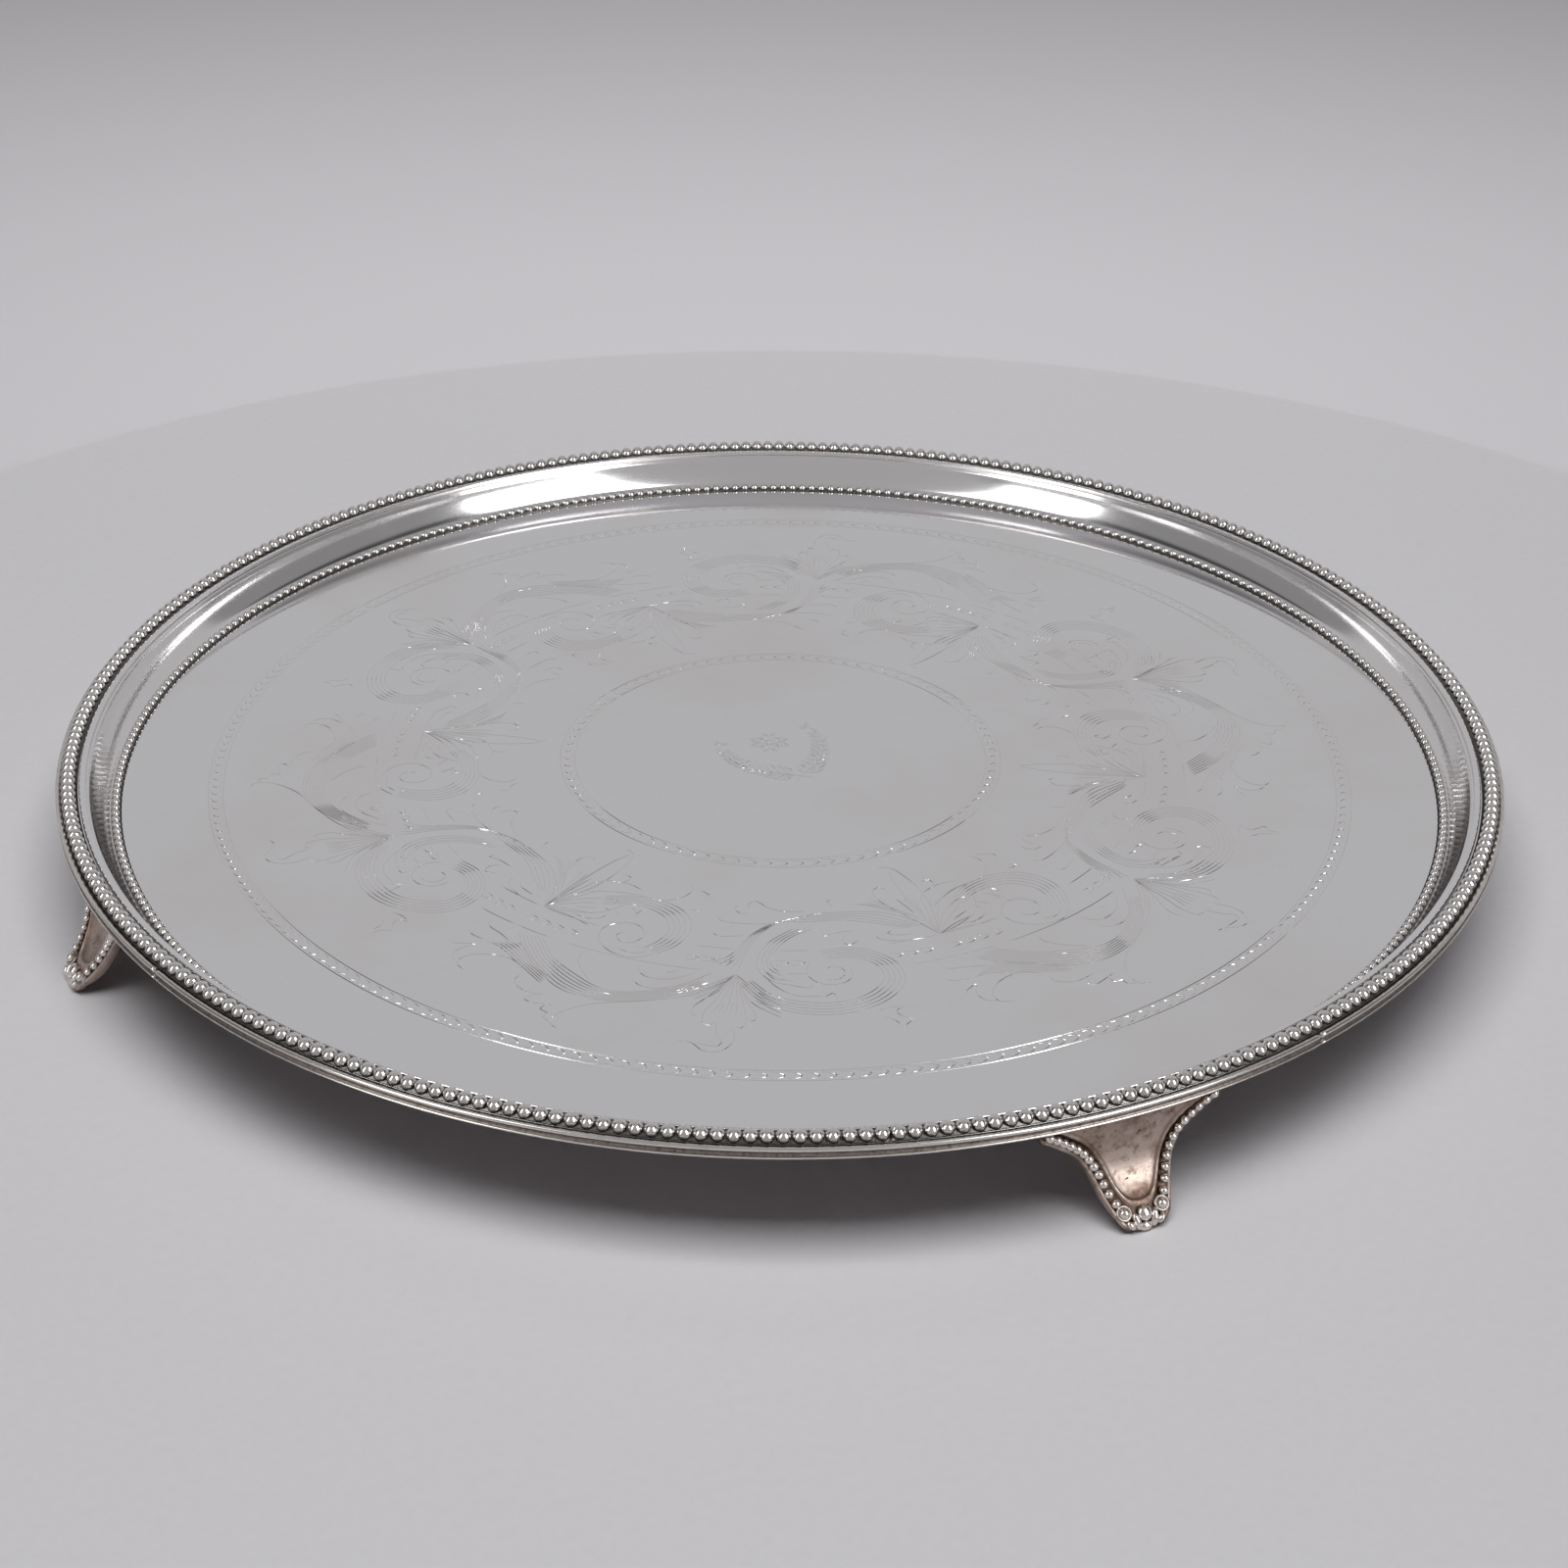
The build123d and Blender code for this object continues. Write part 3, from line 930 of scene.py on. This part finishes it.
# strip sections in millimetres from the middle of the ring
BORDER_STRIP = [(-2.25, 0.0), (2.25, 0.0), (2.25, 0.45), (0.8, 0.7), (0.65, 1.7), (0.0, 1.9), (-0.55, 1.7),
                (-0.8, 0.7), (-2.25, 0.45)]
BEAD_SQUASH = 1.1                # width of a border bead across the ring, beside its length along it
FIELD_STRIP = [(-1.5, 0.0), (1.5, 0.0), (1.4, 0.35), (0.5, 0.9), (-0.5, 0.9), (-1.4, 0.35)]
STRIP_STEPS = 166
BORDER_BEAD_RADIUS = 2.08 * MM
BORDER_BEAD_OUT = 0.5 * MM       # the balls stand outside the middle of their strip
BORDER_BEAD_DROP = 0.3 * MM
BRIGHT_SIDE = 0.5                # share of the painted shade kept on the side of the tray
FIELD_BEAD_RADIUS = 1.36 * MM
FIELD_BEAD_LIFT = 0.98 * MM
SOLDER_RADIUS = 1.45 * MM
SOLDER_ANGLE = 0.30
SOLDER_LIFT = 2.2 * MM


def strip_shell(ring, base, section, start):
    """A shell that starts with the strip under a quarter of a bead wire, darkened in full as painted shade
    between and under the beads.
    """
    shell = Shell()
    points = section_points(ring, base, section)
    vertices, faces = lathe_mesh(points, start + BEAD_GAP, QUARTER - 2 * BEAD_GAP, STRIP_STEPS)
    # painted shade: the whole strip is darkened fully
    shell.add(vertices, faces, [1.0] * len(vertices))
    return shell


def small_tilt(luck, most):
    """A random lean of a bead in X and Y."""
    return Vector((luck.uniform(-most, most), luck.uniform(-most, most), 0.0))


def border_bead_wire(number, luck):
    """A quarter of the outer beads on a strip darkened as painted shade. Their painted shade is halved on the
    side of the tray, so they are lighter there.
    """
    start = BEAD_JOIN + (number - 1) * QUARTER
    shell = strip_shell(BORDER_RING, SEAT_TOP, BORDER_STRIP, start)
    count = BORDER_BEADS // 4
    height = CROWN - BORDER_BEAD_DROP - BORDER_BEAD_RADIUS
    section = ball_section(BORDER_BEAD_RADIUS, -50, 12, 0.45)
    for index in range(count):
        angle = start + (index + 0.5) * QUARTER / count
        size = luck.uniform(0.985, 1.0)
        tilt = small_tilt(luck, 0.04)
        centre = radial(BORDER_RING + BORDER_BEAD_OUT, angle, height)
        axes = wire_axes(angle, BEAD_SQUASH * size, size)
        ball, faces, tarnish_and_shade = bead(centre, section, axes, 20, tilt)
        # painted shade: halved on the side of the tray
        for place, point in enumerate(ball):
            if point.xy.length < BORDER_RING:
                tarnish_and_shade[place] *= BRIGHT_SIDE
        shell.add(ball, faces, tarnish_and_shade)
    if number == 1:
        angle = start + SOLDER_ANGLE
        blob = ball_section(SOLDER_RADIUS, -60, 8, -0.4)
        centre = radial(BORDER_RING, angle, SEAT_TOP + SOLDER_LIFT)
        shell.add(*bead(centre, blob, wire_axes(angle, BEAD_SQUASH, 0.75), 16, Vector()))
    return shell.build(f"border_beads_{number}", BEAD_SILVER)


def field_bead_wire(number, luck):
    """A quarter of the inner beads, on a narrow strip in the channel of the plate, darkened as painted shade.
    """
    start = BEAD_JOIN + (number - 1) * QUARTER
    shell = strip_shell(FIELD_RING, CHANNEL, FIELD_STRIP, start)
    count = FIELD_BEADS // 4
    section = ball_section(FIELD_BEAD_RADIUS, -38, 9, 0.35)
    for index in range(count):
        angle = start + (index + 0.5) * QUARTER / count
        size = luck.uniform(0.97, 1.0)
        tilt = small_tilt(luck, 0.05)
        centre = radial(FIELD_RING, angle, CHANNEL + FIELD_BEAD_LIFT)
        shell.add(*bead(centre, section, wire_axes(angle, size, 1.08 * size), 16, tilt))
    return shell.build(f"field_beads_{number}", BEAD_SILVER)


# ---------------- feet

# A foot is drawn as seen from the front, in millimetres across it and above the table. The front face
# leans back to a waist and flares out to the toe.
WAIST = (222.7, 23.0)
TOP_FLARE = 3.3
TOE_FLARE = 11.0
NOSE_HEIGHT = 3.0
KNEE = 5.0                       # below this height the front face turns under to the pad
FOOT_THICKNESS = 2.8
RIM_WIDTH = 1.0
FOOT_ROWS = 90
# half of each line, from the wing down to the middle of the toe
FOOT_OUTLINE = [(26.8, 28.2), (21.5, 24.7), (16.3, 20.8), (12.8, 15.5), (10.8, 10.0), (9.3, 6.4), (8.2, 4.2),
                (6.2, 1.9), (3.6, 0.5), (0.0, 0.0)]
FOOT_BEAD_LINE = [(27.6, 31.0), (24.8, 30.5), (20.0, 27.1), (14.5, 22.3), (10.9, 16.4), (8.7, 10.4),
                  (6.2, 6.0), (3.6, 3.6), (0.0, 2.9)]
FOOT_RIDGE_LINE = [(28.2, 33.3), (23.6, 32.7), (18.4, 29.4), (12.6, 24.4), (8.9, 18.4), (6.7, 12.6),
                   (5.0, 9.4), (2.9, 7.6), (0.0, 7.0)]
# (share of the way from the outline to the bead line, lift off the face in mm, tarnish)
RIM_STEPS = [(0.30, 0.32, 0.1), (0.42, 0.30, 0.3), (0.52, -0.05, 0.9), (0.62, -0.45, 1.0), (0.80, -0.55, 1.0)]
CHANNEL_STEPS = [(0.0, -0.6, 1.0), (0.30, -0.5, 1.0), (0.55, -0.3, 1.0), (0.70, 0.1, 0.8), (0.82, 0.42, 0.25)]
# (distance past the ridge in mm, lift, tarnish)
PANEL_STEPS = [(0.0, 0.5, 0.0), (0.25, 0.42, 0.1), (0.5, 0.1, 0.7), (0.8, -0.12, 0.9), (1.4, -0.25, 0.55)]
PANEL_SPREAD = (0.12, 0.25, 0.4, 0.55, 0.7, 0.85, 1.0)
PANEL_DISH = -0.4
PANEL_REACH = 1.4                # how far past the ridge its slope ends, where there is room
PANEL_HALF_WIDTH = 29.0
# control points where the toe turns under: how far the first is from the knee, and the last two
TOE_BEND = Vector((1.7, -1.7))
TOE_NOSE = Vector((234.0, 1.0))
TOE_END = Vector((232.2, 0.0))
EDGE_ROUNDING = 0.2
BACK_SHARES = (0.2, 0.45, 0.7)
FOOT_BEAD_START = 2.4
FOOT_BEAD_PITCH = 2.72
FOOT_BEADS_EACH_SIDE = 13
FOOT_BEAD_RADIUS = 1.36
FOOT_BEAD_LIFT = 0.55
BEAD_LINE_STEPS = 200
LAST_BEAD = 1.2                  # size of the last bead, beside the others
RING_LIFT = 0.1
RING_MAJOR = 1.95 * MM
RING_MINOR = 0.5 * MM
LOBE_HEIGHT = 1.5
# lobes of the toe, in mm: (across, height, half width, half height, lift), and their lean in degrees
KNUCKLE = (
    (0.0, 4.8, 2.1, 2.3, 0.5, 0.0),
    (2.7, 3.5, 1.15, 2.6, 0.0, -14.0),
    (-2.7, 3.5, 1.15, 2.6, 0.0, 14.0),
    (4.6, 2.9, 0.95, 1.7, 0.0, -38.0),
    (-4.6, 2.9, 0.95, 1.7, 0.0, 38.0),
    (0.0, 1.7, 2.2, 1.5, -0.2, 0.0),
)


def even_line(line, count):
    """A smooth curve through a line's points, resampled to equal steps."""
    points = smooth_line(line, 0.05)
    lengths = running_lengths(points)
    result = []
    index = 0
    for step in range(count + 1):
        goal = lengths[-1] * step / count
        while index < len(points) - 2 and lengths[index + 1] < goal:
            index += 1
        share = (goal - lengths[index]) / max(lengths[index + 1] - lengths[index], 1e-9)
        result.append(points[index].lerp(points[index + 1], min(1.0, share)))
    return result


def side_place(height):
    """The front face in side view: (radius, z) for a nominal height."""
    rise = height - WAIST[1]
    if rise >= 0:
        return Vector((WAIST[0] + TOP_FLARE * (rise / (FOOT_TOP / MM - WAIST[1])) ** 2, height))
    if height >= KNEE:
        return Vector((WAIST[0] + TOE_FLARE * (rise / (NOSE_HEIGHT - WAIST[1])) ** 2, height))
    start = side_place(KNEE)
    t = 1.0 - max(height, 0.0) / KNEE
    bend = start + TOE_BEND
    keep = 1.0 - t
    return start * keep ** 3 + bend * 3 * keep * keep * t + TOE_NOSE * 3 * keep * t * t + TOE_END * t ** 3


def side_normal(height):
    """Outward direction of the front face in side view."""
    along = side_place(height + 0.2) - side_place(max(height - 0.2, 0.0))
    return Vector((along.y, -along.x)).normalized()


def foot_place(across, height, lift, depth, turn):
    """A point of the foot. lift goes out from the front face, and depth goes back from it."""
    spot = side_place(height)
    out = side_normal(height)
    level = max(0.0, min(1.0, (10.0 - height) / 7.0))
    back = out.lerp(Vector((1.0, 0.0)), level).normalized()
    spot = spot + out * lift - back * depth
    near = math.sqrt(spot.x ** 2 - across ** 2)
    return Matrix.Rotation(turn, 3, "Z") @ (Vector((near, across, max(0.0, spot.y))) * MM)


def foot_section(outline, bead_line, ridge, top):
    """One loop around the foot's wall: (across, height, lift, depth, tarnish and painted shade) from the top
    of the panel.
    """
    loop = []
    to_top = top - ridge
    length = max(to_top.length, 0.01)
    reach_in = min(PANEL_REACH, 0.6 * length)
    for share in reversed(PANEL_SPREAD):
        place = ridge + to_top * (reach_in + (length - reach_in) * share) / length
        # painted shade: the panel darkens towards its top, under the tray's rim, over an even film of tarnish
        darkening = 0.25 + 0.35 * max(0.0, (place.y - 22.0) / 14.0)
        loop.append((*place, PANEL_DISH, 0.0, darkening))
    for distance, lift, darkening in reversed(PANEL_STEPS):
        place = ridge + to_top * distance * reach_in / PANEL_REACH / length
        loop.append((*place, lift, 0.0, darkening))
    for first, last, steps in ((bead_line, ridge, CHANNEL_STEPS), (outline, bead_line, RIM_STEPS)):
        for share, lift, darkening in reversed(steps):
            loop.append((*first.lerp(last, share), lift, 0.0, darkening))
    inward = (bead_line - outline).normalized() * RIM_WIDTH * 0.7
    rim = outline + inward
    for step in range(9):
        turn = math.radians(80 - 20 * step)
        place = rim - inward * max(0.0, math.cos(turn)) ** 0.5
        depth = (FOOT_THICKNESS - EDGE_ROUNDING) * (1 - math.sin(turn)) / 2
        lift = EDGE_ROUNDING * max(0.0, math.sin(turn))
        loop.append((*place, lift, depth, 0.15 if step < 4 else 0.5))
    back = [ridge.lerp(top, share) for share in BACK_SHARES]
    for place in (rim, bead_line, ridge, *back, top):
        loop.append((*place, 0.0, FOOT_THICKNESS, 0.6))
    return loop


def foot_bracket(number):
    """A cast foot with its rim, bead channel, ridge and dished panel."""
    turn = math.radians(QUARTER * (number - 1))
    outline = even_line(FOOT_OUTLINE, FOOT_ROWS)
    bead_line = even_line(FOOT_BEAD_LINE, FOOT_ROWS)
    ridge = even_line(FOOT_RIDGE_LINE, FOOT_ROWS)
    loops = []
    for row in range(FOOT_ROWS + 1):
        top = Vector((PANEL_HALF_WIDTH * ridge[row].x / ridge[0].x, FOOT_TOP / MM))
        loops.append(foot_section(outline[row], bead_line[row], ridge[row], top))
    loops += [[(-point[0], *point[1:]) for point in loop] for loop in reversed(loops[:-1])]
    size = len(loops[0])
    vertices = [foot_place(*point[:4], turn) for loop in loops for point in loop]
    tarnish_and_shade = [point[4] for loop in loops for point in loop]
    faces = []
    for row in range(len(loops) - 1):
        for index in range(size):
            following = (index + 1) % size
            here = row * size
            faces.append((here + index, here + following, here + size + following, here + size + index))
    faces.append(tuple(reversed(range(size))))
    faces.append(tuple(range((len(loops) - 1) * size, len(loops) * size)))
    return make_object(f"foot_{number}", vertices, faces, FOOT_SILVER, True, tarnish_and_shade)


def foot_axes(across, height, turn):
    """Axes of a bead on the front face: across, up the face, and out of it."""
    centre = foot_place(across, height, 0.0, 0.0, turn)
    out = (foot_place(across, height, 1.0, 0.0, turn) - centre).normalized()
    side = (foot_place(across + 0.5, height, 0.0, 0.0, turn) - centre).normalized()
    return side, out.cross(side).normalized(), out


def foot_bead_edging(number, luck):
    """Beads around the foot's lower edge, which end in a ringed bead and a lobed knuckle at the toe."""
    turn = math.radians(QUARTER * (number - 1))
    shell = Shell()
    line = even_line(FOOT_BEAD_LINE, BEAD_LINE_STEPS)
    length = running_lengths(line)[-1]
    for index in range(FOOT_BEADS_EACH_SIDE):
        last = index == FOOT_BEADS_EACH_SIDE - 1
        place = line[round(BEAD_LINE_STEPS * (FOOT_BEAD_START + index * FOOT_BEAD_PITCH) / length)]
        for side in (1, -1):
            radius = FOOT_BEAD_RADIUS * (LAST_BEAD if last else luck.uniform(0.97, 1.0))
            section = ball_section(radius * MM, -40, 9, 0.0)
            axes = foot_axes(side * place.x, place.y, turn)
            centre = foot_place(side * place.x, place.y, FOOT_BEAD_LIFT, 0.0, turn)
            shell.add(*bead(centre, section, axes, 16, Vector()))
            if last:
                low = foot_place(side * place.x, place.y, RING_LIFT, 0.0, turn)
                shell.add(*ring_bead(low, axes, RING_MAJOR, RING_MINOR))
    for across, height, half_width, half_height, lift, lean in KNUCKLE:
        side_axis, up, out = foot_axes(across, height, turn)
        spin = Matrix.Rotation(math.radians(lean), 3, out)
        section = ball_section(1.0 * MM, -50, 10, -0.1)
        centre = foot_place(across, height, lift, 0.0, turn)
        axes = (spin @ side_axis * half_width, spin @ up * half_height, out * LOBE_HEIGHT)
        shell.add(*bead(centre, section, axes, 24, Vector()))
    shell.vertices = [Vector((point.x, point.y, max(0.0, point.z))) for point in shell.vertices]
    return shell.build(f"foot_beads_{number}", FOOT_BEAD_SILVER)


# ---------------- assembly

def settle(piece, node):
    """A finished piece rides on the tray and stands for its CAD node."""
    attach(piece, BODY)
    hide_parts(node)


luck = random.Random(7)
settle(salver_plate(), "salver_plate")
settle(fillet_moulding(), "fillet_moulding")
for number in QUARTERS:
    settle(edge_moulding(number), f"edge_moulding_{number}")
    settle(border_bead_wire(number, luck), f"border_bead_wire_{number}")
    settle(field_bead_wire(number, luck), f"field_bead_wire_{number}")
    settle(foot_bracket(number), f"foot_bracket_{number}")
    settle(foot_bead_edging(number, luck), f"foot_bead_edging_{number}")


# ---------------- studio

CAMERA_YAW = 0.0015
CAMERA_PITCH = 0.5152
CAMERA_ROLL = 0.0106
CAMERA_TURN = -25.0              # degrees
CAMERA_LENS = 68.21
CAMERA_DISTANCE = 3.7616
CAMERA_HEIGHT = 2.0797


def camera_pose():
    """Camera matrix: it looks down at the tray from the front."""
    side = Vector((math.cos(CAMERA_YAW), -math.sin(CAMERA_YAW), 0.0))
    ahead = Vector((
        math.sin(CAMERA_YAW) * math.cos(CAMERA_PITCH),
        math.cos(CAMERA_YAW) * math.cos(CAMERA_PITCH),
        -math.sin(CAMERA_PITCH),
    ))
    up = side.cross(ahead)
    right = side * math.cos(CAMERA_ROLL) + up * math.sin(CAMERA_ROLL)
    top = up * math.cos(CAMERA_ROLL) - side * math.sin(CAMERA_ROLL)
    spot = Vector((0.0, -CAMERA_DISTANCE, CAMERA_HEIGHT)) * BORDER_RING + Vector((0.0, 0.0, FIELD_TOP))
    pose = Matrix((right, top, -ahead)).transposed().to_4x4()
    pose.translation = spot
    return Matrix.Rotation(math.radians(CAMERA_TURN), 4, "Z") @ pose


def facing(angle, elevation, distance):
    """A place around the tray in the photographer's own directions: 0 is to their right, 90 is behind."""
    lift = math.radians(elevation)
    return radial(distance * math.cos(lift), angle + CAMERA_TURN, distance * math.sin(lift))


def area_light(name, spot, aim, width, height, power):
    """A soft rectangular light that faces a point."""
    data = bpy.data.lights.new(name, "AREA")
    data.shape = "RECTANGLE"
    data.size = width
    data.size_y = height
    data.energy = power
    lamp = add_object(name, data)
    lamp.location = spot
    lamp.rotation_euler = (aim - spot).to_track_quat("-Z", "Y").to_euler()
    return lamp


camera_data = bpy.data.cameras.new("camera")
camera_data.lens = CAMERA_LENS
camera_data.sensor_width = 36.0
camera_data.clip_start = 0.01
camera = add_object("camera", camera_data)
camera.matrix_world = camera_pose()
bpy.context.scene.camera = camera


def lean_towards(tree, direction, way):
    """How far a direction leans towards a fixed way, from -1 to 1."""
    node = tree.nodes.new("ShaderNodeVectorMath")
    node.operation = "DOT_PRODUCT"
    return fill(tree, node, {0: direction, 1: way}).outputs["Value"]


def studio_world():
    """What the silver reflects: a pale card behind, a grey room in front, and dark above low side walls.

    Matt surfaces get only a little of its light, because the overhead light and the washes light them.
    """
    world = bpy.data.worlds.new("studio")
    bpy.context.scene.world = world
    world.use_nodes = True
    tree = world.node_tree
    back = tree.nodes["Background"]
    direction = tree.nodes.new("ShaderNodeTexCoord").outputs["Generated"]
    behind = lean_towards(tree, direction, facing(90.0, 0.0, 1.0))
    beside = combine(tree, "ABSOLUTE", lean_towards(tree, direction, facing(0.0, 0.0, 1.0)), 0.0)
    up = lean_towards(tree, direction, (0.0, 0.0, 1.0))
    card = ramp(tree, behind, *CARD_EDGE, 0.0, CARD)
    above = ramp(tree, up, *ROOM_TOP, 1.0, ROOM_TOP_SHADE)
    room = combine(tree, "MULTIPLY", ramp(tree, beside, *ROOM_EDGE, ROOM_DIM, ROOM_DARK), above)
    wall = ramp(tree, up, *WALL_EDGE, WALL, 0.0)
    mirrored = combine(tree, "MAXIMUM", card, combine(tree, "MAXIMUM", room, wall))
    path = tree.nodes.new("ShaderNodeLightPath")
    seen = combine(tree, "MULTIPLY", path.outputs["Is Camera Ray"], PLAIN_VIEW)
    glossy = combine(tree, "MULTIPLY", path.outputs["Is Glossy Ray"], mirrored)
    strength = combine(tree, "ADD", combine(tree, "ADD", seen, glossy), AMBIENT)
    fill(tree, back, {"Color": (1.0, 0.99, 1.0, 1.0), "Strength": strength})


def paper(name, colour, glow=0.0):
    """Matt pale paper with a very slight unevenness. glow stands for light from the rest of the room."""
    material, tree, shader, place = new_material(name)
    tone = ramp(tree, noise(tree, place, 300), 0.3, 0.7, 0.0, 1.0)
    darker = tuple(channel * 0.97 for channel in colour)
    fill(tree, shader, {
        "Roughness": 0.95,
        "Specular IOR Level": 0.1,
        "Emission Color": (*colour, 1.0),
        "Emission Strength": glow,
        "Base Color": mix_colour(tree, tone, colour, darker),
    })
    return material


CARD_EDGE = (0.36, 0.44)
CARD = 0.47
ROOM_EDGE = (0.55, 0.75)
ROOM_DIM = 0.38
ROOM_DARK = 0.05
WALL_EDGE = (0.45, 0.60)
WALL = 0.24
ROOM_TOP = (0.8, 0.92)
ROOM_TOP_SHADE = 0.95
PLAIN_VIEW = 0.55                # what a camera sees past the backdrop
AMBIENT = 0.004
TABLE_RADIUS = 0.4526
TABLE_THICKNESS = 0.02
TABLE_CHAMFER = 0.002
TABLE_HOLE = 0.001
TABLE_CENTRE = facing(-70.0, 0.0, 0.0256)
BACKDROP_DROP = 0.35
BACKDROP_HALF = 6.0
WASH_SPREAD = math.radians(100.0)
BACKDROP_GLOW = 0.24

studio_world()
table_profile = [
    (TABLE_HOLE, -TABLE_THICKNESS), (TABLE_RADIUS, -TABLE_THICKNESS), (TABLE_RADIUS, -TABLE_CHAMFER),
    (TABLE_RADIUS - TABLE_CHAMFER, 0.0), (TABLE_HOLE, 0.0),
]
table_mesh = lathe_mesh(table_profile, 0.0, 360.0, 256)
table = make_object("table", *table_mesh, paper("table_paper", (0.75, 0.735, 0.76)), False)
table.location = TABLE_CENTRE
corners = [
    (-BACKDROP_HALF, -BACKDROP_HALF, -BACKDROP_DROP), (BACKDROP_HALF, -BACKDROP_HALF, -BACKDROP_DROP),
    (BACKDROP_HALF, BACKDROP_HALF, -BACKDROP_DROP), (-BACKDROP_HALF, BACKDROP_HALF, -BACKDROP_DROP),
]
backdrop = make_object(
    "backdrop", corners, [(0, 1, 2, 3)], paper("backdrop_paper", (0.62, 0.605, 0.63), BACKDROP_GLOW), False,
)
# each light: its place, what it faces, its width and height, and its watts
aim = facing(90.0, 0.0, 0.1)
reflected = (
    area_light("front_left", facing(-142.0, 31.0, 1.7), aim, 0.55, 1.55, 8.5),
    area_light("front_right", facing(-42.0, 31.0, 1.7), aim, 0.8, 1.55, 16.0),
)
for lamp in reflected:
    lamp.visible_diffuse = False
key = area_light("overhead", facing(-92.0, 70.0, 2.0), aim, 1.7, 1.1, 31.0)
key.visible_glossy = False
washes = (
    area_light("backdrop_wash", facing(90.0, 52.0, 2.2), facing(90.0, 0.0, 1.5), 2.4, 0.8, 8.5),
    area_light("front_wash", facing(-90.0, 45.0, 3.0), facing(-90.0, -8.0, 3.6), 4.0, 2.0, 70.0),
)
for lamp in washes:
    lamp.data.spread = WASH_SPREAD
    lamp.visible_glossy = False
bpy.context.scene.view_settings.view_transform = "Standard"
